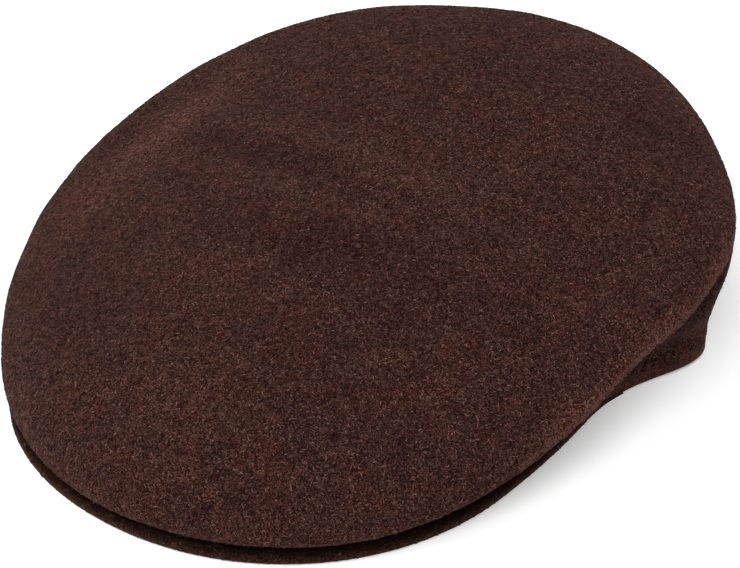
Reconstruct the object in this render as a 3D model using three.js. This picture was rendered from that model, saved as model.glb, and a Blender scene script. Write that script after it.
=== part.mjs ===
import * as THREE from 'three';

// Flat cap of dark brown wool felt, lying on a table with its peak in front.
// Millimetres, +Z up. The peak points to -Y and +X is the wearer's left.
// The origin is on the table, under the middle of the cap's box.
//
// Two pieces: the crown, one seamless shell of felt from the domed top over the folded
// edge and down to the hem, and the short peak under its front.
//
// Everything is laid out round the head axis. A bearing is an angle round that axis in
// degrees, 0 towards the peak and 90 towards +X, and a reach is a distance from it.

// Felt, hem and peak
const feltThickness = 2.5;
const rimRound = 1.1;
const hemBulgeShare = 0.45;
const wallHandle = 0.4;
const peakThickness = 4;
const peakRound = 1.7;
const peakStartBearing = -75;
const peakEndBearing = 89;
const peakTipSpan = 5;
const peakTipWidth = 1.2;
const pieceGap = 0.3;

// Domed top: a plane that rises to the back, with the rise of the dome on it
const planeHeight = 29.4;
const planeSlope = 0.183;
const domeRise = 38;
const domeFullness = 2.55;
const domeSteepness = 0.62;
const domeSaddle = 0.26;

// The crown's edge and the wall under it, by bearing.
// reach, height: the outermost line of the folded edge
// roll: radius of the fold, tuck: how far the fold turns in under the edge, in degrees
// inflow: how flat the wall runs into the crease above the hem, in degrees from upright
// creaseHeight: height of that crease, creaseDepth: how far it lies in from the hem
const edgeRows = [
  { bearing: 0, reach: 154, height: 8.4, roll: 3, tuck: 90, inflow: 90, creaseHeight: 5.1, creaseDepth: 0 },
  { bearing: 30, reach: 147.5, height: 9.7, roll: 3, tuck: 87, inflow: 88, creaseHeight: 5.6, creaseDepth: 0.1 },
  { bearing: 60, reach: 127.5, height: 23, roll: 3.4, tuck: 68, inflow: 76, creaseHeight: 8.4, creaseDepth: 0.9 },
  { bearing: 90, reach: 121.5, height: 46.5, roll: 3.9, tuck: 40, inflow: 70, creaseHeight: 12, creaseDepth: 2 },
  { bearing: 120, reach: 118.5, height: 53.5, roll: 5, tuck: 8, inflow: 29, creaseHeight: 11.8, creaseDepth: 1.5 },
  { bearing: 150, reach: 117, height: 54.5, roll: 8, tuck: 4, inflow: 38, creaseHeight: 13.2, creaseDepth: 2.2 },
  { bearing: 180, reach: 123.5, height: 50.5, roll: 9, tuck: 4, inflow: 40, creaseHeight: 13.6, creaseDepth: 2 },
  { bearing: 210, reach: 118.5, height: 54.5, roll: 8, tuck: 4, inflow: 38, creaseHeight: 13.2, creaseDepth: 2.2 },
  { bearing: 240, reach: 117.5, height: 54, roll: 5, tuck: 8, inflow: 29, creaseHeight: 11.8, creaseDepth: 1.5 },
  { bearing: 270, reach: 121.5, height: 41.5, roll: 3.9, tuck: 40, inflow: 70, creaseHeight: 12, creaseDepth: 2 },
  { bearing: 300, reach: 129.5, height: 26, roll: 3.4, tuck: 68, inflow: 76, creaseHeight: 8.4, creaseDepth: 0.9 },
  { bearing: 330, reach: 143, height: 9.7, roll: 3, tuck: 87, inflow: 88, creaseHeight: 5.6, creaseDepth: 0.1 },
];

// Where the folded edge is pressed in, on the wearer's left
const edgeDents = [
  { bearing: 81.7, spread: 6.2, reach: -2.8 },
  { bearing: 100.5, spread: 6, reach: -0.8 },
];

// Outlines seen from above: their middle, half width, length to its front and back, and how
// square the corners are (2 is an ellipse). The crown lies a little to one side of the peak.
const hemOutline = { middleX: 0, middleY: 12, halfWidth: 88, front: 98, back: 98, squareness: 2.2 };
const peakOutline = {
  middleX: 4.2, middleY: -62.3, halfWidth: 93.9, front: 92.1, back: 165, squareness: 2.08,
};

// Where the hem stands out from its outline: a slack stretch on each side, and the corner
// behind it that stands off the table a little
const hemFlares = [
  { bearing: 105, spread: 18, flare: 5.5, lift: 0 },
  { bearing: 115, spread: 7, flare: 13.5, lift: 1.6 },
  { bearing: 255, spread: 18, flare: 5, lift: 0 },
  { bearing: 246, spread: 9, flare: 6.5, lift: 1 },
];

// Soft folds and hollows in the top, seen from above. x and y are the middle of each one
// and turn is how far its length is turned from the X axis, in degrees.
// length, width: how far it fades out along and across; rise: its height, or depth if minus
const softFolds = [
  { x: -12, y: 4, turn: -2, length: 62, width: 13, rise: -0.9 },
  { x: -24, y: -12, turn: 1, length: 50, width: 9, rise: 1.3 },
  { x: -34, y: -28, turn: 2, length: 42, width: 9, rise: -1.2 },
  { x: -14, y: -43, turn: -3, length: 52, width: 9, rise: 1.1 },
  { x: 0, y: -62, turn: -4, length: 58, width: 14, rise: -1 },
  { x: -101, y: -14, turn: 80, length: 20, width: 12, rise: -1.6 },
];
const foldFade = 0.86;

// Colours
const crownColour = '#3e2823';
const peakColour = '#38241f';
const feltRoughness = 0.96;

// How finely the faceted shells are divided, and the search for an outline's reach
const bearingCount = 72;
const topSteps = 17;
const foldSteps = 4;
const wallSteps = 6;
const hemSteps = 3;
const insideStride = 2;
const peakSections = 64;
const peakRoundSteps = 3;
const farthestReach = 400;
const searchSteps = 40;
const onRowLimit = 1e-9;

const radians = THREE.MathUtils.degToRad;

// Smooth value of one column at any bearing, through equally spaced rows
function valueAt(rows, column, bearing) {
  let value = 0;
  for (const row of rows) {
    const half = radians(bearing - row.bearing) / 2;
    const onRow = Math.abs(Math.sin(half)) < onRowLimit;
    const weight = onRow ? 1 : Math.sin(rows.length * half) / (rows.length * Math.tan(half));
    value += weight * row[column];
  }
  return value;
}

// Reach of an outline from the head axis at a bearing
function outlineReach(outline, bearing) {
  const angle = radians(bearing);
  let inside = 0;
  let outside = farthestReach;
  for (let step = 0; step < searchSteps; step++) {
    const reach = (inside + outside) / 2;
    const x = Math.abs(reach * Math.sin(angle) - outline.middleX) / outline.halfWidth;
    const fromMiddle = -reach * Math.cos(angle) - outline.middleY;
    const y = Math.abs(fromMiddle) / (fromMiddle < 0 ? outline.front : outline.back);
    const within = x ** outline.squareness + y ** outline.squareness < 1;
    if (within) {
      inside = reach;
    } else {
      outside = reach;
    }
  }
  return inside;
}

// Sum at a bearing of what each row adds near its own bearing, for one column
function nearbyAt(rows, column, bearing) {
  let sum = 0;
  for (const row of rows) {
    const away = ((bearing - row.bearing + 540) % 360) - 180;
    sum += row[column] * Math.exp(-0.5 * (away / row.spread) ** 2);
  }
  return sum;
}

function hemReach(bearing) {
  return outlineReach(hemOutline, bearing) + nearbyAt(hemFlares, 'flare', bearing);
}

// Point in the upright section at a bearing, from its reach and height
function place(bearing, reach, height) {
  const angle = radians(bearing);
  return new THREE.Vector3(reach * Math.sin(angle), -reach * Math.cos(angle), height);
}

// Height that the soft folds add at a place seen from above
function foldHeight(x, y) {
  let height = 0;
  for (const fold of softFolds) {
    const turn = radians(fold.turn);
    const along = (x - fold.x) * Math.cos(turn) + (y - fold.y) * Math.sin(turn);
    const across = (y - fold.y) * Math.cos(turn) - (x - fold.x) * Math.sin(turn);
    height += fold.rise * Math.exp(-0.5 * ((along / fold.length) ** 2 + (across / fold.width) ** 2));
  }
  return height;
}

// Height of the outer top at a share of the way from the head axis to the edge.
// The folds fade out before they reach the edge.
function topHeight(bearing, share, edge) {
  const plane = planeHeight - planeSlope * share * edge.reach * Math.cos(radians(bearing));
  const saddle = 1 + domeSaddle * share ** 2 * Math.cos(2 * radians(bearing));
  const rise = domeRise * Math.max(1 - share ** domeFullness, 0) ** domeSteepness;
  const at = place(bearing, share * edge.reach, 0);
  const fade = 1 - THREE.MathUtils.smoothstep(share, foldFade, 1);
  return plane + (edge.height - plane) * share ** 4 + rise * saddle + fade * foldHeight(at.x, at.y);
}

// Every column of the edge table at a bearing, with the dents
function edgeAt(bearing) {
  const edge = {};
  for (const column of Object.keys(edgeRows[0])) {
    edge[column] = valueAt(edgeRows, column, bearing);
  }
  edge.reach += nearbyAt(edgeDents, 'reach', bearing);
  return edge;
}

// Outer side of the felt in one upright section, from the top's middle to the rim
function outerProfile(bearing) {
  const edge = edgeAt(bearing);
  const points = [];

  // Top, in steps that close up towards the edge
  for (let step = 0; step <= topSteps; step++) {
    const share = Math.sin((Math.PI / 2) * (step / topSteps));
    points.push(new THREE.Vector2(share * edge.reach, topHeight(bearing, share, edge)));
  }

  // Fold
  const foldCentre = new THREE.Vector2(edge.reach - edge.roll, edge.height);
  const tuck = radians(edge.tuck);
  for (let step = 1; step <= foldSteps; step++) {
    const turn = (tuck * step) / foldSteps;
    const offset = new THREE.Vector2(Math.cos(turn), -Math.sin(turn)).multiplyScalar(edge.roll);
    points.push(foldCentre.clone().add(offset));
  }

  // Wall from the fold to the crease
  const start = points[points.length - 1];
  const hem = hemReach(bearing);
  const crease = new THREE.Vector2(hem - edge.creaseDepth, edge.creaseHeight);
  const handle = wallHandle * start.distanceTo(crease);
  const inflow = radians(edge.inflow);
  const wall = new THREE.CubicBezierCurve(
    start,
    start.clone().add(new THREE.Vector2(-Math.sin(tuck), -Math.cos(tuck)).multiplyScalar(handle)),
    crease.clone().add(new THREE.Vector2(Math.sin(inflow), Math.cos(inflow)).multiplyScalar(handle)),
    crease,
  );
  points.push(...wall.getPoints(wallSteps).slice(1, -1));

  // Hem, bulging out under the crease and rounded where it meets the table
  const lift = nearbyAt(hemFlares, 'lift', bearing);
  const bulge = new THREE.Vector2(hem, lift + hemBulgeShare * (edge.creaseHeight - lift));
  const belly = new THREE.CubicBezierCurve(
    crease,
    new THREE.Vector2(crease.x, (crease.y + bulge.y) / 2),
    new THREE.Vector2(bulge.x, (crease.y + bulge.y) / 2),
    bulge,
  );
  points.push(...belly.getPoints(hemSteps));
  points.push(new THREE.Vector2(hem, lift + rimRound));
  points.push(new THREE.Vector2(hem - rimRound, lift));
  return points;
}

// Inner side of the felt in the same section, from the rim back to the top's middle. It
// keeps the felt's thickness round the crease, and has one point inside the tight fold.
function innerProfile(outer) {
  const last = outer.length - 1;
  const rim = outer[last];
  const points = [new THREE.Vector2(rim.x + rimRound - feltThickness, rim.y)];
  const foldMiddle = topSteps + foldSteps / 2;
  for (let index = last - hemSteps; index > 0; index -= insideStride) {
    if (Math.abs(index - foldMiddle) === foldSteps / 2) continue;
    const before = outer[index].clone().sub(outer[index - 1]).normalize();
    const after = outer[index + 1].clone().sub(outer[index]).normalize();
    const along = before.add(after).normalize();
    const inwards = new THREE.Vector2(along.y, -along.x);
    points.push(outer[index].clone().addScaledVector(inwards, feltThickness / along.dot(after)));
  }
  points.push(new THREE.Vector2(0, outer[0].y - feltThickness));
  return points;
}

// Closed solid from rings of points, each joined to the next, with an end on each side
function joinRings(rings, ends) {
  const positions = [];
  const count = rings[0].length;
  for (const point of [...rings.flat(), ...ends]) {
    positions.push(...point.toArray());
  }
  const faces = [];
  for (let ring = 0; ring < rings.length - 1; ring++) {
    for (let index = 0; index < count; index++) {
      const next = (index + 1) % count;
      const a = ring * count + index;
      const b = ring * count + next;
      faces.push(a, a + count, b, b, a + count, b + count);
    }
  }
  const firstEnd = rings.length * count;
  const lastRing = (rings.length - 1) * count;
  for (let index = 0; index < count; index++) {
    const next = (index + 1) % count;
    faces.push(firstEnd, index, next);
    faces.push(firstEnd + 1, lastRing + next, lastRing + index);
  }
  const geometry = new THREE.BufferGeometry();
  geometry.setAttribute('position', new THREE.Float32BufferAttribute(positions, 3));
  geometry.setIndex(faces);
  geometry.computeVertexNormals();
  return geometry;
}

function crownGeometry() {
  const sections = [];
  for (let index = 0; index < bearingCount; index++) {
    const bearing = (360 * index) / bearingCount;
    const outer = outerProfile(bearing);
    const whole = [...outer, ...innerProfile(outer)];
    sections.push(whole.map((point) => place(bearing, point.x, point.y)));
  }
  const topMiddle = sections[0][0];
  const insideMiddle = sections[0][sections[0].length - 1];
  const rings = [];
  for (let index = 1; index < sections[0].length - 1; index++) {
    rings.push(sections.map((section) => section[index]));
  }
  return joinRings(rings, [topMiddle, insideMiddle]);
}

// Section through the peak at a bearing: flat on the table, rounded at its outer edge
function peakSection(bearing) {
  const inner = hemReach(bearing) + pieceGap;
  const outer = outlineReach(peakOutline, bearing);
  const toEnd = Math.min(bearing - peakStartBearing, peakEndBearing - bearing);
  const intoTip = Math.max(1 - toEnd / peakTipSpan, 0);
  const width = Math.max((outer - inner) * Math.sqrt(1 - intoTip ** 2), peakTipWidth);
  const round = Math.min(peakRound, width / 2);
  const points = [[inner, peakThickness], [inner, 0]];
  for (const side of [0, 1]) {
    const height = side === 0 ? round : peakThickness - round;
    for (let step = 0; step <= peakRoundSteps; step++) {
      const turn = (Math.PI / 2) * (side + step / peakRoundSteps - 1);
      points.push([inner + width - round + round * Math.cos(turn), height + round * Math.sin(turn)]);
    }
  }
  return points.map(([reach, height]) => place(bearing, reach, height));
}

function middleOf(points) {
  const sum = new THREE.Vector3();
  for (const point of points) {
    sum.add(point);
  }
  return sum.divideScalar(points.length);
}

function peakGeometry() {
  const rings = [];
  for (let index = 0; index <= peakSections; index++) {
    rings.push(peakSection(THREE.MathUtils.lerp(peakStartBearing, peakEndBearing, index / peakSections)));
  }
  return joinRings(rings, [middleOf(rings[0]), middleOf(rings[peakSections])]);
}

function feltPiece(name, geometry, color) {
  const material = new THREE.MeshStandardMaterial({ color, roughness: feltRoughness, metalness: 0 });
  const mesh = new THREE.Mesh(geometry, material);
  mesh.name = name;
  return mesh;
}

const cap = new THREE.Group();
cap.add(feltPiece('crown', crownGeometry(), crownColour));
cap.add(feltPiece('peak', peakGeometry(), peakColour));

// The head axis goes where the cap's box comes to stand round the origin
const capBox = new THREE.Box3().setFromObject(cap, true);
const capMiddle = capBox.getCenter(new THREE.Vector3());
cap.position.set(-capMiddle.x, -capMiddle.y, -capBox.min.z);

export default cap;
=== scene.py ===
import math

import bmesh
import bpy
import numpy as np
from mathutils import Matrix, Vector, noise


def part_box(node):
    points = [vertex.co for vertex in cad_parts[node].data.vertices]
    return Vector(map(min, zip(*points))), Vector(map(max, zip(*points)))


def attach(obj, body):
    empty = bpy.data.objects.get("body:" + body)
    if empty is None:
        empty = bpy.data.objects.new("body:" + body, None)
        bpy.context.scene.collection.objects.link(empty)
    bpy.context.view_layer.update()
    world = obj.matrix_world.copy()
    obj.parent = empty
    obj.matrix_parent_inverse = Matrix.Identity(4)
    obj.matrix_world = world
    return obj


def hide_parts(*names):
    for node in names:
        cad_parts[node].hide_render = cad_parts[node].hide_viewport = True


# A flat cap of dark brown wool felt. Lengths in the tables are millimetres. A bearing is an
# angle round the head axis in degrees, 0 towards the peak and 90 towards +X, and a reach is
# a distance from that axis.

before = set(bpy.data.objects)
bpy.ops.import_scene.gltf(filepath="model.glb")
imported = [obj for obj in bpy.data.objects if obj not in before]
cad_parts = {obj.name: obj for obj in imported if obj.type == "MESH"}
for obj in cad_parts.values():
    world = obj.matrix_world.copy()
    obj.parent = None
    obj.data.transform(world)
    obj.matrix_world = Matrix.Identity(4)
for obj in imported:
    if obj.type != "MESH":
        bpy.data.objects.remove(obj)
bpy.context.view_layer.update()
millimetre = 0.001
samePlace = 1e-4  # points as near as this are one, in millimetres
print("frame loaded")


# Felt: colours as linear light, grain sizes in millimetres. A share is a part of the whole.
# aside and further move and turn a grain, so that no two grains agree.

felt = {
    "wool": [
        dict(mark=0.40, colour=(0.0029, 0.0004, 0.0002)),
        dict(mark=0.50, colour=(0.0159, 0.0042, 0.0028)),
        dict(mark=0.61, colour=(0.0757, 0.0333, 0.0260)),
    ],
    "aside": dict(offset=(0.31, 0.17, 0.05), turn=(0.4, 0.9, 0.2)),
    "further": dict(offset=(0.07, 0.43, 0.21), turn=(1.3, 0.2, 0.7)),
    "grainRoughness": 0.6,
    "fine": dict(size=0.40, detail=2, distortion=0.5),
    "clumps": dict(size=1.1, detail=3, distortion=0.4),
    "mottle": dict(size=3.2, detail=3),
    "fineShare": 0.62,
    "clumpShare": 0.24,
    "mottleShare": 0.14,
    "hairColour": (0.0817, 0.0380, 0.0303),
    "hairShare": 0.35,
    "longHairs": dict(size=1.1, width=0.03, distortion=1.1),
    "shortHairs": dict(size=0.7, width=0.04, distortion=0.8),
    "hairPatches": dict(size=1.7, detail=2),
    "hairPatchRange": (0.45, 0.62),
    "warmTint": (1.07, 0.94, 0.92),
    "coolTint": (0.95, 1.05, 1.06),
    "tintPatches": dict(size=14, detail=3),
    "tintPatchRange": (0.36, 0.64),
    "bumpDepth": 0.35,
    "hairBump": 0.25,
    "roughness": 0.95,
    "specular": 0.04,
    "sheen": 0.15,
    "sheenRoughness": 0.4,
    "sheenTint": (0.72, 0.38, 0.31),
}


def newMaterial(name):
    material = bpy.data.materials.new(name)
    material.use_nodes = True
    tree = material.node_tree
    return material, tree, tree.nodes["Principled BSDF"]


def mixedColour(tree, share, first, second, blend="MIX"):
    mix = tree.nodes.new("ShaderNodeMix")
    mix.data_type = "RGBA"
    mix.blend_type = blend
    for key, value in (("Factor", share), ("A", first), ("B", second)):
        socket = mix.inputs[key]
        if isinstance(value, tuple):
            socket.default_value = (*value, 1)
        elif isinstance(value, (int, float)):
            socket.default_value = value
        else:
            tree.links.new(value, socket)
    return mix.outputs["Result"]


def spread(tree, source, low, high, least=0.0, most=1.0):
    # stretches a value's low to high range to least to most
    node = tree.nodes.new("ShaderNodeMapRange")
    node.inputs["From Min"].default_value = low
    node.inputs["From Max"].default_value = high
    node.inputs["To Min"].default_value = least
    node.inputs["To Max"].default_value = most
    tree.links.new(source, node.inputs["Value"])
    return node.outputs["Result"]


def grain(tree, place, size, detail, distortion=0.0):
    node = tree.nodes.new("ShaderNodeTexNoise")
    node.inputs["Scale"].default_value = 1 / (size * millimetre)
    node.inputs["Detail"].default_value = detail
    node.inputs["Roughness"].default_value = felt["grainRoughness"]
    node.inputs["Distortion"].default_value = distortion
    tree.links.new(place, node.inputs["Vector"])
    return node.outputs["Fac"]


def computed(tree, operation, first, second):
    node = tree.nodes.new("ShaderNodeMath")
    node.operation = operation
    for socket, value in zip(node.inputs, (first, second)):
        if isinstance(value, (int, float)):
            socket.default_value = value
        else:
            tree.links.new(value, socket)
    return node.outputs["Value"]


def ramp(tree, source, rows):
    node = tree.nodes.new("ShaderNodeValToRGB")
    marks = node.color_ramp.elements
    while len(marks) < len(rows):
        marks.new(0.5)
    for mark, row in zip(marks, rows):
        mark.position = row["mark"]
        mark.color = (*row["colour"], 1)
    tree.links.new(source, node.inputs["Fac"])
    return node.outputs["Color"]


def squiggles(tree, place, size, width, distortion):
    # thin curly lines, where a distorted grain passes its middle value
    field = grain(tree, place, size, 1, distortion)
    away = computed(tree, "ABSOLUTE", computed(tree, "SUBTRACT", field, 0.5), 0)
    return spread(tree, away, 0.0, width, 1.0, 0.0)


def movedPlace(tree, place, offset, turn):
    node = tree.nodes.new("ShaderNodeMapping")
    node.inputs["Location"].default_value = offset
    node.inputs["Rotation"].default_value = turn
    tree.links.new(place, node.inputs["Vector"])
    return node.outputs["Vector"]


def feltMaterial(name, tonesAndShading=None):
    # The given tones are painted shade: how light the felt is at the wearer's right, at the left
    # and on its top side, with the places in metres where they change; without them every point
    # has its own tone, with its painted light and shade, read from the mesh
    material, tree, surface = newMaterial(name)
    place = tree.nodes.new("ShaderNodeTexCoord").outputs["Object"]
    aside = movedPlace(tree, place, **felt["aside"])
    further = movedPlace(tree, place, **felt["further"])

    # matted fibres: deep gaps, wool and lighter tips, at the scale of single fibres
    fine = computed(tree, "MULTIPLY", grain(tree, place, **felt["fine"]), felt["fineShare"])
    clumps = computed(tree, "MULTIPLY", grain(tree, aside, **felt["clumps"]), felt["clumpShare"])
    mottle = computed(tree, "MULTIPLY", grain(tree, further, **felt["mottle"]), felt["mottleShare"])
    matted = computed(tree, "ADD", computed(tree, "ADD", fine, clumps), mottle)
    colour = ramp(tree, matted, felt["wool"])

    # hairs that lie on top
    longer = squiggles(tree, place, **felt["longHairs"])
    shorter = squiggles(tree, aside, **felt["shortHairs"])
    patchy = spread(tree, grain(tree, further, **felt["hairPatches"]), *felt["hairPatchRange"])
    lying = computed(tree, "MULTIPLY", computed(tree, "MAXIMUM", longer, shorter), patchy)
    share = computed(tree, "MULTIPLY", lying, felt["hairShare"])
    colour = mixedColour(tree, share, colour, felt["hairColour"])

    # soft patches of warmer and cooler wool
    patches = spread(tree, grain(tree, place, **felt["tintPatches"]), *felt["tintPatchRange"])
    tint = mixedColour(tree, patches, felt["coolTint"], felt["warmTint"])
    colour = mixedColour(tree, 1.0, colour, tint, "MULTIPLY")
    # painted shade on the peak: darker towards the wearer's right and on its top side
    if tonesAndShading:
        parts = tree.nodes.new("ShaderNodeSeparateXYZ")
        tree.links.new(place, parts.inputs["Vector"])
        leftwards = spread(tree, parts.outputs["X"], *tonesAndShading["acrossRange"])
        side = mixedColour(tree, leftwards, tonesAndShading["right"], tonesAndShading["left"])
        shadedTop = mixedColour(tree, 1.0, side, tonesAndShading["top"], "MULTIPLY")
        upwards = spread(tree, parts.outputs["Z"], *tonesAndShading["heightRange"])
        toneAndShading = mixedColour(tree, upwards, side, shadedTop)
    else:
        # the crown's own tone with its painted light and shade, from the mesh
        own = tree.nodes.new("ShaderNodeAttribute")
        own.attribute_name = "toneAndShading"
        toneAndShading = computed(tree, "ADD", own.outputs["Fac"], 1)
    colour = mixedColour(tree, 1.0, colour, toneAndShading, "MULTIPLY")
    tree.links.new(colour, surface.inputs["Base Color"])

    # the same fibres as relief
    relief = computed(tree, "ADD", computed(tree, "MULTIPLY", lying, felt["hairBump"]), matted)
    bump = tree.nodes.new("ShaderNodeBump")
    bump.inputs["Strength"].default_value = 1.0
    bump.inputs["Distance"].default_value = felt["bumpDepth"] * millimetre
    tree.links.new(relief, bump.inputs["Height"])
    tree.links.new(bump.outputs["Normal"], surface.inputs["Normal"])

    surface.inputs["Roughness"].default_value = felt["roughness"]
    surface.inputs["Specular IOR Level"].default_value = felt["specular"]
    surface.inputs["Sheen Weight"].default_value = felt["sheen"]
    surface.inputs["Sheen Roughness"].default_value = felt["sheenRoughness"]
    surface.inputs["Sheen Tint"].default_value = (*felt["sheenTint"], 1)
    return material


# Shapes shared by the crown and the peak. A flare stands out from the hem's outline near its
# bearing, and lift is how far it stands off the table.

hem = {
    "outline": dict(middleX=0, middleY=12, halfWidth=88, front=98, back=98, squareness=2.2),
    "flares": [
        dict(bearing=105, spread=18, flare=5.5, lift=0),
        dict(bearing=115, spread=7, flare=13.5, lift=1.6),
        dict(bearing=255, spread=18, flare=5, lift=0),
        dict(bearing=246, spread=9, flare=6.5, lift=1),
    ],
    "farthest": 400,
    "searchSteps": 40,
}


def valueAt(rows, column, bearings):
    # smooth value of one column at any bearing, through equally spaced rows
    total = np.zeros(len(bearings))
    for row in rows:
        half = np.radians(bearings - row["bearing"]) / 2
        onRow = np.abs(np.sin(half)) < 1e-9
        slope = np.where(onRow, 1, np.tan(half))
        weight = np.sin(len(rows) * half) / (len(rows) * slope)
        total += np.where(onRow, 1, weight) * row[column]
    return total


def nearbyAt(rows, column, bearings):
    # what each row adds near its own bearing
    total = np.zeros(len(bearings))
    for row in rows:
        away = (bearings - row["bearing"] + 540) % 360 - 180
        total += row[column] * np.exp(-0.5 * (away / row["spread"]) ** 2)
    return total


def outlineReach(outline, bearings):
    # reach of a rounded outline from the head axis, closing in on it from both sides
    angle = np.radians(bearings)
    inside = np.zeros(len(bearings))
    outside = np.full(len(bearings), float(hem["farthest"]))
    for step in range(hem["searchSteps"]):
        reach = (inside + outside) / 2
        fromMiddle = -reach * np.cos(angle) - outline["middleY"]
        length = np.where(fromMiddle < 0, outline["front"], outline["back"])
        x = np.abs(reach * np.sin(angle) - outline["middleX"]) / outline["halfWidth"]
        y = np.abs(fromMiddle) / length
        within = x ** outline["squareness"] + y ** outline["squareness"] < 1
        inside = np.where(within, reach, inside)
        outside = np.where(within, outside, reach)
    return inside


def hemReach(bearings):
    return outlineReach(hem["outline"], bearings) + nearbyAt(hem["flares"], "flare", bearings)


def asPoints(reach, height):
    return np.stack(np.broadcast_arrays(reach, height), axis=-1)


def arc(centre, radius, turns):
    # points round a centre in every section, turning down from straight outwards
    turns = np.atleast_2d(turns)
    radius = np.atleast_1d(radius)[:, None]
    return centre[:, None] + asPoints(radius * np.cos(turns), -radius * np.sin(turns))


def curve(start, startHandle, endHandle, end, steps):
    t = np.arange(steps + 1)[None, :, None] / steps
    return (
        start[:, None] * (1 - t) ** 3 + startHandle[:, None] * 3 * t * (1 - t) ** 2
        + endHandle[:, None] * 3 * t * t * (1 - t) + end[:, None] * t ** 3
    )


def spunWork(sections, bearings, fullTurn):
    # The first section is spun round the head axis, and then every point goes to its place
    # in its own section. A part turn has closed sections, and its two ends are filled.
    work = bmesh.new()
    station = work.verts.layers.int.new("station")
    section = work.verts.layers.int.new("section")
    turn = math.radians(bearings[0])
    chain = []
    for index, (reach, height) in enumerate(sections[0]):
        vert = work.verts.new((reach * math.sin(turn), -reach * math.cos(turn), height))
        vert[station] = index
        chain.append(vert)
    links = [work.edges.new(pair) for pair in zip(chain, chain[1:])]
    if not fullTurn:
        links.append(work.edges.new((chain[-1], chain[0])))
    spacing = bearings[1] - bearings[0]
    steps = len(bearings) if fullTurn else len(bearings) - 1
    bmesh.ops.spin(
        work, geom=chain + links, cent=(0, 0, 0), axis=(0, 0, 1), dvec=(0, 0, 0),
        angle=math.radians(spacing * steps), steps=steps, use_merge=fullTurn,
        use_normal_flip=False, use_duplicate=False,
    )
    onAxis = [vert for vert in work.verts if math.hypot(vert.co.x, vert.co.y) < samePlace]
    bmesh.ops.remove_doubles(work, verts=onAxis, dist=samePlace)
    for vert in work.verts:
        bearing = math.degrees(math.atan2(vert.co.x, -vert.co.y))
        if math.hypot(vert.co.x, vert.co.y) > samePlace:
            vert[section] = round((bearing - bearings[0]) / spacing) % len(bearings)
        reach, height = sections[vert[section]][vert[station]]
        angle = math.radians(bearings[vert[section]])
        vert.co = (reach * math.sin(angle), -reach * math.cos(angle), height)
    if not fullTurn:
        ends = [edge for edge in work.edges if edge.is_boundary]
        bmesh.ops.holes_fill(work, edges=ends, sides=0)
    bmesh.ops.recalc_face_normals(work, faces=work.faces)
    return work, station


def roughened(work, verts, swells):
    # uneven felt: each swell has a size along X, a size across and a height
    for vert in verts:
        rise = 0.0
        for along, across, height in swells:
            place = Vector((vert.co.x / along, vert.co.y / across, vert.co.z / across))
            rise += height * noise.noise(place)
        vert.co += vert.normal * rise


def finished(name, work, materials):
    # the piece's place goes into its mesh, in metres
    mesh = bpy.data.meshes.new(name)
    work.to_mesh(mesh)
    work.free()
    mesh.transform(placing)
    return placed(name, mesh, materials)


def pointsAndNormals(mesh):
    points = np.empty(len(mesh.vertices) * 3)
    mesh.vertices.foreach_get("co", points)
    normals = np.empty(len(mesh.vertices) * 3, np.float32)
    mesh.vertices.foreach_get("normal", normals)
    return points.reshape(-1, 3), normals.reshape(-1, 3).astype(float)


def placed(name, mesh, materials):
    mesh.shade_smooth()
    for material in materials:
        mesh.materials.append(material)
    piece = bpy.data.objects.new(name, mesh)
    bpy.context.scene.collection.objects.link(piece)
    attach(piece, "root")
    print(name, len(mesh.vertices), "points")
    return piece


# Crown: one shell of felt from the top over the folded edge and down to the hem.
# edge: reach and height of the outermost line of the fold, roll its radius, tuck how far it
# turns in under the edge, inflow how flat the wall runs into the crease above the hem, crease
# how high that lies and inset how far in from the hem. Each row holds at its bearing.
# dents and lips: what they add to the edge near their bearing. A dent presses it in, and a lip
# makes the fold sharper.
# softFolds and streaks: middle, turn of the length from X, how far they fade along and across,
# and a fold's rise or how much lighter a streak is. The streaks are painted light and shade on
# the top: light and dark bands beside the soft folds, a painted highlight on the wearer's right
# shoulder and painted highlights along the folded edge on the wearer's left. The hem has painted
# light near the floor, and the wall under the edge painted shade. blotches: size and most change
# in tone.
# foldFade: share of the way out where the soft folds begin to fade. crowding: how much closer
# the rows of the mesh lie near the edge. plainRows: the last rows above the rim have no swells.

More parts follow.
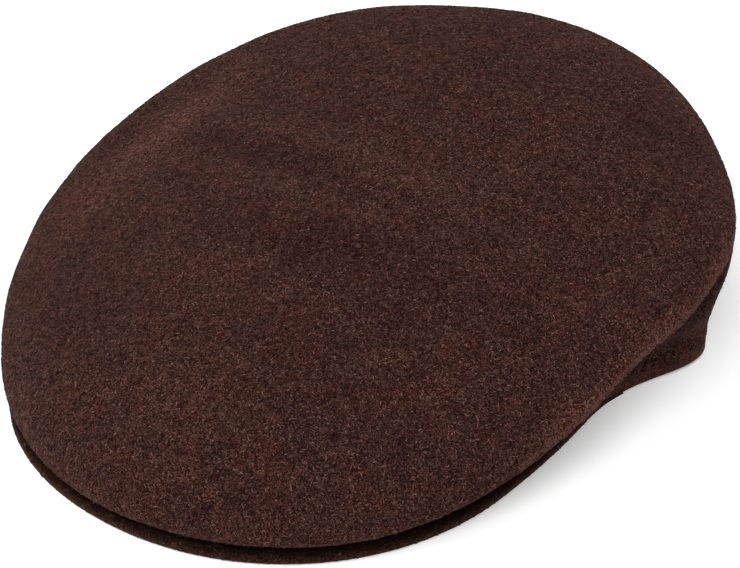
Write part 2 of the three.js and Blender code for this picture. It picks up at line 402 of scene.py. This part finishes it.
crown = {
    "felt": 2.5,
    "rimRound": 1.1,
    "hemBulge": 0.45,
    "wallHandle": 0.48,
    "planeHeight": 29.4,
    "planeSlope": 0.183,
    "domeRise": 38,
    "domeFullness": 2.55,
    "domeSteepness": 0.62,
    "domeSaddle": 0.26,
    "edgePull": 4,
    "leastTuck": 1,
    "edge": [
        dict(bearing=0, reach=154, height=8.4, roll=3, tuck=90, inflow=90, crease=5.1, inset=0),
        dict(bearing=30, reach=147.5, height=9.7, roll=3, tuck=87, inflow=88, crease=5.6, inset=0.1),
        dict(bearing=60, reach=127.5, height=23, roll=3.4, tuck=68, inflow=76, crease=8.4, inset=0.9),
        dict(bearing=90, reach=121.5, height=46.5, roll=3.9, tuck=40, inflow=70, crease=12, inset=2),
        dict(bearing=120, reach=118.5, height=53.5, roll=5, tuck=8, inflow=29, crease=11.8, inset=1.5),
        dict(bearing=150, reach=117, height=54.5, roll=8, tuck=4, inflow=38, crease=13.2, inset=2.2),
        dict(bearing=180, reach=123.5, height=50.5, roll=9, tuck=4, inflow=40, crease=13.6, inset=2),
        dict(bearing=210, reach=118.5, height=54.5, roll=8, tuck=4, inflow=38, crease=13.2, inset=2.2),
        dict(bearing=240, reach=117.5, height=54, roll=5, tuck=8, inflow=29, crease=11.8, inset=1.5),
        dict(bearing=270, reach=121.5, height=41.5, roll=3.9, tuck=40, inflow=70, crease=12, inset=2),
        dict(bearing=300, reach=129.5, height=26, roll=3.4, tuck=68, inflow=76, crease=8.4, inset=0.9),
        dict(bearing=330, reach=143, height=9.7, roll=3, tuck=87, inflow=88, crease=5.6, inset=0.1),
    ],
    "dents": [
        dict(bearing=81.7, spread=6.2, reach=-2.8),
        dict(bearing=100.5, spread=6, reach=-0.8),
    ],
    "lips": [
        dict(bearing=0, spread=44, height=-0.9, roll=-1.8, tuck=0, inflow=0, inset=0),
        dict(bearing=84, spread=12, height=-0.9, roll=-2.1, tuck=46, inflow=0, inset=0),
        dict(bearing=98, spread=7, height=-0.4, roll=-0.8, tuck=22, inflow=0, inset=3.5),
        dict(bearing=104, spread=4.5, height=-0.5, roll=-1.2, tuck=36, inflow=0, inset=0),
        dict(bearing=108.5, spread=3.5, height=-0.4, roll=-1.8, tuck=30, inflow=0, inset=0),
        dict(bearing=120, spread=6, height=0, roll=0, tuck=-26, inflow=-28, inset=-2),
        dict(bearing=276, spread=16, height=-0.9, roll=-2.1, tuck=40, inflow=0, inset=0),
    ],
    "softFolds": [
        dict(x=-12, y=4, turn=-2, length=62, width=13, rise=-0.9),
        dict(x=-24, y=-12, turn=1, length=50, width=9, rise=1.3),
        dict(x=-34, y=-28, turn=2, length=42, width=9, rise=-1.2),
        dict(x=-14, y=-43, turn=-3, length=52, width=9, rise=1.1),
        dict(x=0, y=-62, turn=-4, length=58, width=14, rise=-1),
        dict(x=-101, y=-14, turn=80, length=20, width=12, rise=-1.6),
    ],
    # painted light and shade: bands beside the soft folds, and painted highlights
    "paintedShadingStreaks": [
        dict(x=0, y=-10, turn=2, length=40, width=5.5, toneAndShading=0.30),
        dict(x=-30, y=-22, turn=-1, length=32, width=5, toneAndShading=-0.26),
        dict(x=-8, y=-33, turn=6, length=32, width=5, toneAndShading=0.22),
        dict(x=18, y=-50, turn=13, length=45, width=10, toneAndShading=-0.25),
        dict(x=-17, y=-74, turn=0, length=14, width=11, toneAndShading=0.18),
        dict(x=20, y=-121, turn=0, length=22, width=10, toneAndShading=0.15),
        dict(x=33, y=12, turn=0, length=14, width=9, toneAndShading=0.14),
        dict(x=-1, y=60, turn=0, length=16, width=12, toneAndShading=-0.12),
        dict(x=33, y=56, turn=0, length=12, width=12, toneAndShading=0.12),
        dict(x=59, y=68, turn=0, length=14, width=10, toneAndShading=-0.12),
        dict(x=-43, y=-107, turn=0, length=12, width=8, toneAndShading=-0.2),
        # painted highlight on the wearer's right shoulder
        dict(x=-91, y=-22, turn=88, length=25, width=7, toneAndShading=0.75),
        dict(x=-90, y=-72, turn=65, length=18, width=9, toneAndShading=0.2),
        # painted highlights along the folded edge on the wearer's left
        dict(x=114.5, y=-46, turn=78, length=15, width=2.2, toneAndShading=0.8),
        dict(x=119, y=-8, turn=85, length=17, width=2.2, toneAndShading=0.9),
        dict(x=117, y=28, turn=108, length=14, width=2.2, toneAndShading=0.9),
    ],
    "blotches": [(18, 0.14), (8, 0.12)],
    # painted light: the felt near the floor, all round the hem, is made lighter
    "hemPaintedLight": 0.4,
    "hemPaintedLightHeight": 13,
    # painted shade: the felt of the wall under the edge, where it faces down, is made darker
    "wallPaintedShade": -0.8,
    "wallPaintedShadeMiddle": 34,
    "wallPaintedShadeSpread": 13,
    "foldFade": 0.86,
    "swells": [(34, 17, 0.35), (9, 9, 0.14), (3.5, 3.5, 0.06)],
    "sectionCount": 440,
    "topSteps": 96,
    "crowding": 0.6,
    "foldSteps": 8,
    "wallSteps": 26,
    "hemSteps": 9,
    "rimSteps": 3,
    "insideStride": 3,
    "insideTopGap": 5,
    "softenRounds": 8,
    "softenRows": 3,
    "plainRows": 4,
}


def folded(rows, column, x, y):
    # sum of what each fold or streak adds at a place on the crown
    total = np.zeros_like(x)
    for row in rows:
        turn = math.radians(row["turn"])
        along = (x - row["x"]) * math.cos(turn) + (y - row["y"]) * math.sin(turn)
        across = (y - row["y"]) * math.cos(turn) - (x - row["x"]) * math.sin(turn)
        away = (along / row["length"]) ** 2 + (across / row["width"]) ** 2
        total += row[column] * np.exp(-0.5 * away)
    return total


def feltToneAndShading(places, normals):
    # How much lighter the felt is at places in metres. The top has streaks of painted light and
    # shade, the wall under the edge has painted shade, the hem has painted light near the floor, and
    # blotches of tone lie all over.
    local = (places - np.array(headAxis)) / millimetre
    # painted light and shade of the streaks, only where the felt faces up
    toneAndShading = folded(crown["paintedShadingStreaks"], "toneAndShading", local[:, 0], local[:, 1]) * (normals[:, 2] > 0)
    # painted light on the hem near the floor
    toneAndShading += crown["hemPaintedLight"] * np.exp(-(local[:, 2] / crown["hemPaintedLightHeight"]) ** 2)
    # painted shade on the wall under the edge, where the felt faces down
    fromMiddle = (local[:, 2] - crown["wallPaintedShadeMiddle"]) / crown["wallPaintedShadeSpread"]
    toneAndShading += crown["wallPaintedShade"] * np.exp(-fromMiddle ** 2) * (normals[:, 2] < 0)
    for size, most in crown["blotches"]:
        toneAndShading += [most * noise.noise(Vector(place)) for place in local / size]
    return toneAndShading


def topPoints(bearings, edge):
    step = np.arange(crown["topSteps"] + 1) / crown["topSteps"]
    crowded = np.sin(step * math.pi / 2)
    share = crown["crowding"] * crowded + (1 - crown["crowding"]) * step
    angle = np.radians(bearings)[:, None]
    reach = edge["reach"][:, None] * share
    plane = crown["planeHeight"] - crown["planeSlope"] * reach * np.cos(angle)
    saddle = 1 + crown["domeSaddle"] * share ** 2 * np.cos(2 * angle)
    fall = np.maximum(1 - share ** crown["domeFullness"], 0)
    rise = crown["domeRise"] * fall ** crown["domeSteepness"] * saddle
    into = np.clip((share - crown["foldFade"]) / (1 - crown["foldFade"]), 0, 1)
    fade = 1 - into * into * (3 - 2 * into)
    folds = fade * folded(crown["softFolds"], "rise", reach * np.sin(angle), -reach * np.cos(angle))
    height = plane + (edge["height"][:, None] - plane) * share ** crown["edgePull"] + rise + folds
    return asPoints(reach, height)


def crownSections(bearings):
    columns = [column for column in crown["edge"][0] if column != "bearing"]
    edge = {column: valueAt(crown["edge"], column, bearings) for column in columns}
    edge["reach"] += nearbyAt(crown["dents"], "reach", bearings)
    for column in ("height", "roll", "tuck", "inflow", "inset"):
        edge[column] += nearbyAt(crown["lips"], column, bearings)
    edge["tuck"] = np.maximum(edge["tuck"], crown["leastTuck"])
    top = topPoints(bearings, edge)

    tuck = np.radians(edge["tuck"])
    foldMiddle = asPoints(edge["reach"] - edge["roll"], edge["height"])
    turns = tuck[:, None] * np.arange(1, crown["foldSteps"] + 1) / crown["foldSteps"]
    fold = arc(foldMiddle, edge["roll"], turns)

    start = fold[:, -1]
    reach = hemReach(bearings)
    crease = asPoints(reach - edge["inset"], edge["crease"])
    handle = crown["wallHandle"] * np.linalg.norm(start - crease, axis=1)[:, None]
    inflow = np.radians(edge["inflow"])
    leaving = start - handle * asPoints(np.sin(tuck), np.cos(tuck))
    arriving = crease + handle * asPoints(np.sin(inflow), np.cos(inflow))
    wall = curve(start, leaving, arriving, crease, crown["wallSteps"])[:, 1:-1]

    lift = nearbyAt(hem["flares"], "lift", bearings)
    bulgeHeight = lift + crown["hemBulge"] * (edge["crease"] - lift)
    middle = (edge["crease"] + bulgeHeight) / 2
    belly = curve(
        crease, asPoints(crease[:, 0], middle), asPoints(reach, middle),
        asPoints(reach, bulgeHeight), crown["hemSteps"],
    )
    outer = np.concatenate([top, fold, wall, belly], axis=1)

    # rim, rounded outside and inside
    rim = crown["rimRound"]
    quarter = math.pi / 2 * np.arange(crown["rimSteps"] + 1) / crown["rimSteps"]
    outside = arc(asPoints(reach - rim, lift + rim), rim, quarter)
    inside = arc(asPoints(reach - crown["felt"] + rim, lift + rim), rim, quarter + math.pi / 2)

    # inner side, offset from the outer points and back to the top's middle
    before = outer[:, 1:-1] - outer[:, :-2]
    after = outer[:, 2:] - outer[:, 1:-1]
    before /= np.linalg.norm(before, axis=2, keepdims=True)
    after /= np.linalg.norm(after, axis=2, keepdims=True)
    along = before + after
    along /= np.linalg.norm(along, axis=2, keepdims=True)
    depth = crown["felt"] / (along * after).sum(axis=2, keepdims=True)
    inwards = asPoints(along[..., 1], -along[..., 0])
    offset = outer[:, 1:-1] + inwards * depth
    foldStart = crown["topSteps"]
    foldEnd = foldStart + crown["foldSteps"]
    creaseAt = foldEnd + crown["wallSteps"]
    chosen = list(range(creaseAt + crown["insideStride"] * 2, foldEnd, -crown["insideStride"]))
    chosen = [index for index in chosen if index > foldEnd + 1]
    chosen.append((foldStart + foldEnd) // 2)
    chosen += range(foldStart - crown["insideTopGap"], 0, -crown["insideStride"])
    inner = offset[:, [index - 1 for index in chosen]]
    centre = np.zeros((len(bearings), 1, 2))
    centre[:, 0, 1] = outer[:, 0, 1] - crown["felt"]
    outerCount = outer.shape[1]
    return np.concatenate([outer, outside, inside, inner, centre], axis=1), outerCount, creaseAt


def headAxisPlace(sections, bearings):
    # the head axis goes where the middle of the crown comes to the middle of its CAD box
    angles = np.radians(bearings)[:, None]
    low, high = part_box("crown")
    across = sections[..., 0] * np.sin(angles)
    along = -sections[..., 0] * np.cos(angles)
    x = (low.x + high.x) / 2 - (across.min() + across.max()) / 2 * millimetre
    y = (low.y + high.y) / 2 - (along.min() + along.max()) / 2 * millimetre
    return Vector((x, y, 0))


bearings = np.arange(crown["sectionCount"]) * 360 / crown["sectionCount"]
sections, outerCount, creaseAt = crownSections(bearings)
headAxis = headAxisPlace(sections, bearings)
placing = Matrix.Translation(headAxis) @ Matrix.Scale(millimetre, 4)
work, station = spunWork(sections, bearings, True)
nearCrease = [vert for vert in work.verts if abs(vert[station] - creaseAt) < crown["softenRows"]]
for softening in range(crown["softenRounds"]):
    bmesh.ops.smooth_vert(
        work, verts=nearCrease, factor=0.5, use_axis_x=True, use_axis_y=True, use_axis_z=True,
    )
work.normal_update()
outside = [vert for vert in work.verts if vert[station] < outerCount - crown["plainRows"]]
roughened(work, outside, crown["swells"])
crownFelt = finished("crownFelt", work, [feltMaterial("crownWool")])
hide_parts("crown")
points, normals = pointsAndNormals(crownFelt.data)
# tone with painted light and shade, kept on the crown's mesh for its material
tonesAndShading = crownFelt.data.attributes.new("toneAndShading", "FLOAT", "POINT")
tonesAndShading.data.foreach_set("value", feltToneAndShading(points, normals).astype(np.float32))


# Peak: a flat crescent under the front of the crown. Its tones are painted shade on its felt,
# which is darker towards the wearer's right and darker still on its top side under the crown's
# edge, with the places in metres between which that changes. The peak's felt is darker than the
# crown's, partly its own colour and partly painted shade.

peak = {
    "thickness": 4,
    "edgeRound": 1.7,
    "outline": dict(
        middleX=4.2, middleY=-62.3, halfWidth=94.1, front=92.3, back=165, squareness=2.08,
    ),
    "startBearing": -83,
    "endBearing": 97,
    "tailSpan": 8,
    "tailWidth": 1.0,
    "tailThickness": 1.0,
    "tipWidth": 0.05,
    "gap": 0.3,
    "sectionCount": 321,
    "flatSteps": 14,
    "roundSteps": 5,
    "swells": [(8, 8, 0.10), (3.5, 3.5, 0.05)],
    "swellsAbove": 1.36,
    # painted shade: darker felt at the wearer's right and on the top side under the crown's edge
    "tonesAndShading": dict(
        right=(0.70, 0.68, 0.58), left=(0.85, 0.80, 0.66), top=(0.40, 0.38, 0.34),
        acrossRange=(-0.07, 0.08), heightRange=(0.0022, 0.0038),
    ),
}


def peakSections(bearings):
    # The outline runs in under the hem near both ends, and there a thin tail follows the hem
    # and fades into it.
    toEnd = np.minimum(bearings - peak["startBearing"], peak["endBearing"] - bearings)
    fade = np.clip(toEnd / peak["tailSpan"], 0, 1)
    inner = hemReach(bearings) + peak["gap"] * fade
    pastHem = outlineReach(peak["outline"], bearings) - inner
    width = (pastHem + np.sqrt(pastHem ** 2 + 4 * peak["tailWidth"] ** 2)) / 2 * fade
    width = np.maximum(width, peak["tipWidth"])
    thickness = np.minimum(peak["thickness"], peak["tailThickness"] + width)
    rounding = np.minimum(peak["edgeRound"], np.minimum(width, thickness) / 2)
    across = np.arange(peak["flatSteps"] + 1) / peak["flatSteps"]
    flat = inner[:, None] + (width - rounding)[:, None] * across
    quarter = math.pi / 2 * np.arange(1, peak["roundSteps"] + 1) / peak["roundSteps"]
    top = asPoints(flat, thickness[:, None])
    upper = arc(
        asPoints(inner + width - rounding, thickness - rounding), rounding, quarter - math.pi / 2,
    )
    lower = arc(asPoints(inner + width - rounding, rounding), rounding, np.append(0, quarter))
    bottom = asPoints(flat, 0.0)[:, -2::-1]
    return np.concatenate([top, upper, lower, bottom], axis=1)


peakBearings = np.linspace(peak["startBearing"], peak["endBearing"], peak["sectionCount"])
work, station = spunWork(peakSections(peakBearings), peakBearings, False)
work.normal_update()
upperSide = [vert for vert in work.verts if vert.co.z > peak["swellsAbove"]]
roughened(work, upperSide, peak["swells"])
peakFelt = finished("peakFelt", work, [feltMaterial("peakWool", peak["tonesAndShading"])])
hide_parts("peak")


# Nap: short hairs that lie matted on the felt, and a few that stand off it. shares: how many
# hairs have each tint, from black to pale, and the tone shift how much the felt's tone, with its
# painted light and shade, changes that.
# curl: how much hairs bend, as a share of their length. below: how many grow where the felt
# faces down. band and overFold: rows of the crown's or the peak's mesh beside the edge.
# Lying hairs have an arch over their base, and standing ones a rise.

hairTints = {
    "blackHair": (0.0024, 0.0004, 0.0002),
    "darkHair": (0.0069, 0.0015, 0.0009),
    "brownHair": (0.0185, 0.0051, 0.0034),
    "lightHair": (0.0654, 0.0285, 0.0219),
    "paleHair": (0.1376, 0.0686, 0.0543),
}
hair = {
    "roughness": 0.85,
    "specular": 0.1,
    "waveShare": 0.5,
    "waves": 0.75,
    "lyingTaper": 0.8,
    "standingTaper": 0.7,
    "standingReach": 0.75,
    "standingBow": 0.55,
    "downwards": -0.3,
    "seed": 20,
}
nap = {
    "toneAndShadingShift": 0.25,
    "shares": [0.33, 0.18, 0.14, 0.25, 0.10],
    "count": 47000,
    "pieces": 3,
    "segments": 2,
    "length": (0.5, 1.4),
    "width": (0.16, 0.28),
    "curl": 0.24,
    "arch": (0.02, 0.12),
    "base": 0.03,
    "lean": 35,
    "below": 0.35,
}
fuzz = {
    "toneAndShadingShift": 0.25,
    "shares": [0.04, 0.20, 0.36, 0.34, 0.06],
    "count": 20000,
    "segments": 3,
    "length": (0.8, 2.2),
    "width": (0.05, 0.09),
    "curl": 0.35,
    "rise": (0.12, 0.6),
    "below": 0.35,
}
# paler hairs along the folded edge: partly real fuzz and partly a painted highlight
edgeNapAndHighlight = {
    "toneAndShadingShift": 0.25,
    "shares": [0.05, 0.15, 0.25, 0.40, 0.15],
    "count": 9000,
    "segments": 2,
    "length": (0.5, 1.3),
    "width": (0.10, 0.18),
    "curl": 0.3,
    "rise": (0.1, 0.5),
    "below": 1.0,
    "band": 5,
}
# painted highlight: mostly pale hairs along the folded edge on the wearer's left only
rimHighlightNap = {
    "toneAndShadingShift": 0.25,
    "shares": [0.0, 0.0, 0.0, 0.25, 0.75],
    "count": 3400,
    "segments": 2,
    "length": (0.5, 1.1),
    "width": (0.10, 0.18),
    "curl": 0.3,
    "rise": (0.1, 0.4),
    "below": 0.0,
    "band": 1,
    "overFold": 3,
    "fromBearing": 58,
    "toBearing": 117,
}
# darker hairs on the peak: partly its own colour and partly painted shade, like its felt
peakShadedNap = {
    **nap,
    "toneAndShadingShift": 0,
    "shares": [0.42, 0.32, 0.17, 0.08, 0.01],
    "count": 8000,
    "band": 5,
}


def hairMaterial(name, colour):
    material, tree, surface = newMaterial(name)
    surface.inputs["Base Color"].default_value = (*colour, 1)
    surface.inputs["Roughness"].default_value = hair["roughness"]
    surface.inputs["Specular IOR Level"].default_value = hair["specular"]
    return material


def triangles(piece, fromStation, toStation, fromBearing=-180, toBearing=180):
    # Corners and normals of a piece's triangles between two stations and two bearings, in
    # metres. The triangles of its filled ends are left out. A mesh can list its triangles in
    # another order at every run, so they are put in the order of their sections and stations.
    mesh = piece.data
    mesh.calc_loop_triangles()
    corners = np.empty(len(mesh.loop_triangles) * 3, int)
    mesh.loop_triangles.foreach_get("vertices", corners)
    corners = corners.reshape(-1, 3)
    points, normals = pointsAndNormals(mesh)
    stations = np.empty(len(mesh.vertices), np.int32)
    mesh.attributes["station"].data.foreach_get("value", stations)
    sections = np.empty(len(mesh.vertices), np.int32)
    mesh.attributes["section"].data.foreach_get("value", sections)
    inBand = (stations >= fromStation) & (stations < toStation)
    bearings = np.degrees(np.arctan2(points[:, 0] - headAxis.x, headAxis.y - points[:, 1]))
    inBand &= (bearings >= fromBearing) & (bearings <= toBearing)
    kept = corners[inBand[corners].all(axis=1)]
    kept = kept[np.ptp(sections[kept], axis=1) > 0]
    rank = sections * (stations.max() + 1) + stations
    kept = np.take_along_axis(kept, np.argsort(rank[kept], axis=1), axis=1)
    kept = kept[np.lexsort(rank[kept].T)]
    return points[kept], normals[kept]


def unit(vectors):
    return vectors / np.maximum(np.linalg.norm(vectors, axis=-1, keepdims=True), 1e-12)


def scattered(rng, corners, normals, look):
    # places spread evenly over the area, fewer where it faces down, each with its normal
    edges = corners[:, 1:] - corners[:, :1]
    weight = np.linalg.norm(np.cross(edges[:, 0], edges[:, 1]), axis=1)
    weight[normals[:, 0, 2] < hair["downwards"]] *= look["below"]
    pick = rng.choice(len(weight), look["count"], p=weight / weight.sum())
    one = np.sqrt(rng.random(look["count"]))
    two = rng.random(look["count"])
    shares = np.stack([1 - one, one * (1 - two), one * two], axis=1)[:, :, None]
    return (corners[pick] * shares).sum(axis=1), unit((normals[pick] * shares).sum(axis=1))


def hairPiece(name, rng, look, surfaceTriangles):
    # every hair is a narrow strip of a few faces, and all of them are one mesh
    places, normals = scattered(rng, *surfaceTriangles, look)
    count = look["count"]
    steps = look["segments"]
    share = np.arange(steps + 1)[None, :, None] / steps

    def between(key):
        low, high = look[key]
        return rng.uniform(low, high, count)[:, None, None] * millimetre

    spin = rng.uniform(0, 2 * math.pi, count)[:, None]
    helper = np.where(np.abs(normals[:, 2:]) < 0.9, (0, 0, 1), (1, 0, 0))
    first = unit(np.cross(normals, helper))
    second = np.cross(normals, first)
    along = (np.cos(spin) * first + np.sin(spin) * second)[:, None]
    side = np.cross(normals, along[:, 0])[:, None]
    up = normals[:, None]
    length = between("length")
    bend = rng.normal(0, look["curl"], count)[:, None, None] * length
    wave = rng.normal(0, look["curl"] * hair["waveShare"], count)[:, None, None] * length
    sway = bend * share * share + wave * np.sin(share * math.pi * 2 * hair["waves"])
    if "arch" in look:
        height = look["base"] * millimetre + between("arch") * 4 * share * (1 - share)
        centre = places[:, None] + along * length * (share - 0.5) + side * sway + up * height
        taper = np.sqrt(1 - (2 * share - 1) ** 2 * hair["lyingTaper"])
        tilt = np.radians(rng.normal(0, look["lean"], count))[:, None, None]
    else:
        height = between("rise") * np.sin(share * math.pi * hair["standingBow"])
        reach = length * share * hair["standingReach"]
        centre = places[:, None] + along * reach + side * sway + up * height
        taper = 1 - hair["standingTaper"] * share
        tilt = rng.uniform(0, math.pi, count)[:, None, None]
    across = (side * np.cos(tilt) + up * np.sin(tilt)) * between("width") * 0.5 * taper
    points = np.stack([centre - across, centre + across], axis=2).reshape(-1, 3)
    points[:, 2] = np.maximum(points[:, 2], 0)

    row = np.arange(steps)[None, :] * 2 + np.arange(count)[:, None] * (steps + 1) * 2
    faces = np.stack([row, row + 1, row + 3, row + 2], axis=-1).reshape(-1, 4)
    mesh = bpy.data.meshes.new(name)
    mesh.vertices.add(len(points))
    mesh.vertices.foreach_set("co", points.ravel())
    mesh.loops.add(faces.size)
    mesh.loops.foreach_set("vertex_index", faces.ravel())
    mesh.polygons.add(len(faces))
    mesh.polygons.foreach_set("loop_start", np.arange(len(faces)) * 4)
    # hairs are paler where the felt has painted light and darker where it has painted shade
    rank = rng.random(count) + look["toneAndShadingShift"] * feltToneAndShading(places, normals)
    tint = np.searchsorted(np.cumsum(look["shares"])[:-1], rank)
    mesh.polygons.foreach_set("material_index", np.repeat(tint, steps))
    mesh.update(calc_edges=True)
    placed(name, mesh, hairs)


hairs = [hairMaterial(name, colour) for name, colour in hairTints.items()]
rng = np.random.default_rng(hair["seed"])
crownTriangles = triangles(crownFelt, 0, outerCount)
for part in range(nap["pieces"]):
    hairPiece(f"crownNap{part + 1}", rng, nap, crownTriangles)
hairPiece("crownFuzz", rng, fuzz, crownTriangles)
# paler hairs along the folded edge, all round: partly a painted highlight
foldStart = crown["topSteps"] - edgeNapAndHighlight["band"]
foldTriangles = triangles(crownFelt, foldStart, crown["topSteps"] + crown["foldSteps"])
hairPiece("crownEdgeNapAndHighlight", rng, edgeNapAndHighlight, foldTriangles)
# painted highlight of pale hairs on the folded edge at the wearer's left
rimTriangles = triangles(
    crownFelt, crown["topSteps"] - rimHighlightNap["band"], crown["topSteps"] + rimHighlightNap["overFold"],
    rimHighlightNap["fromBearing"], rimHighlightNap["toBearing"],
)
hairPiece("crownRimHighlightNap", rng, rimHighlightNap, rimTriangles)
# darker peak hairs, partly painted shade
napStart = peak["flatSteps"] - peakShadedNap["band"]
peakTriangles = triangles(peakFelt, napStart, peak["flatSteps"] + peak["roundSteps"] * 2)
hairPiece("peakShadedNap", rng, peakShadedNap, peakTriangles)


# Camera, where the photograph was taken from, in millimetres and degrees. The nearest and
# farthest that it sees are metres.

camera = {
    "azimuth": 40.609,
    "elevation": 33.327,
    "distance": 887.85,
    "focalPixels": 2515.55,
    "pictureWidth": 740,
    "sensorWidth": 36,
    "aimHeight": 35,
    "aimRight": -8.472,
    "aimUp": -20.224,
    "nearest": 0.01,
    "farthest": 20,
}
azimuth = math.radians(camera["azimuth"])
elevation = math.radians(camera["elevation"])
right = Vector((math.cos(azimuth), math.sin(azimuth), 0))
back = Vector((
    math.sin(azimuth) * math.cos(elevation), -math.cos(azimuth) * math.cos(elevation),
    math.sin(elevation),
))
up = back.cross(right)
aim = Vector((0, 0, camera["aimHeight"])) + right * camera["aimRight"] + up * camera["aimUp"]
lens = bpy.data.cameras.new("camera")
lens.sensor_width = camera["sensorWidth"]
lens.lens = camera["focalPixels"] * camera["sensorWidth"] / camera["pictureWidth"]
lens.clip_start = camera["nearest"]
lens.clip_end = camera["farthest"]
view = bpy.data.objects.new("camera", lens)
view.location = headAxis + (aim + back * camera["distance"]) * millimetre
view.rotation_euler = back.to_track_quat("Z", "Y").to_euler()
bpy.context.scene.collection.objects.link(view)
bpy.context.scene.camera = view


# Floor and light, in metres. A lamp's side is its angle round the cap from the camera,
# positive to the right, and its height is an angle above the floor.

studio = {
    "floorSize": 6.0,
    "floorColour": (0.93, 0.93, 0.93),
    "floorRoughness": 0.9,
    "floorSpecular": 0.1,
    "floorGlow": 0.2,
    "skyStrength": 0.10,
    "lampDistance": 1.4,
    "lampSize": 0.9,
    "lamps": [
        dict(name="frontLight", side=0, height=50, power=14.5),
        dict(name="leftLight", side=-75, height=50, power=13),
        dict(name="topLight", side=-90, height=72, power=7),
        dict(name="rightLight", side=90, height=50, power=6),
    ],
}
work = bmesh.new()
bmesh.ops.create_grid(work, x_segments=1, y_segments=1, size=studio["floorSize"] / 2)
floorMesh = bpy.data.meshes.new("floor")
work.to_mesh(floorMesh)
work.free()
floorPaper, tree, surface = newMaterial("floorPaper")
surface.inputs["Base Color"].default_value = (*studio["floorColour"], 1)
surface.inputs["Roughness"].default_value = studio["floorRoughness"]
surface.inputs["Specular IOR Level"].default_value = studio["floorSpecular"]
surface.inputs["Emission Color"].default_value = (1, 1, 1, 1)
surface.inputs["Emission Strength"].default_value = studio["floorGlow"]
floorMesh.materials.append(floorPaper)
floor = bpy.data.objects.new("floor", floorMesh)
bpy.context.scene.collection.objects.link(floor)

world = bpy.data.worlds.new("studio")
world.use_nodes = True
sky = world.node_tree.nodes["Background"]
sky.inputs["Color"].default_value = (1, 1, 1, 1)
sky.inputs["Strength"].default_value = studio["skyStrength"]
bpy.context.scene.world = world
towards = Vector((back.x, back.y, 0)).normalized()
for row in studio["lamps"]:
    side = math.radians(row["side"])
    height = math.radians(row["height"])
    level = towards * math.cos(side) + right * math.sin(side)
    direction = level * math.cos(height) + Vector((0, 0, math.sin(height)))
    lamp = bpy.data.lights.new(row["name"], "AREA")
    lamp.shape = "DISK"
    lamp.size = studio["lampSize"]
    lamp.energy = row["power"]
    holder = bpy.data.objects.new(row["name"], lamp)
    holder.location = direction * studio["lampDistance"]
    holder.rotation_euler = direction.to_track_quat("Z", "Y").to_euler()
    bpy.context.scene.collection.objects.link(holder)
bpy.context.scene.view_settings.view_transform = "Standard"
print("camera, floor and light placed")
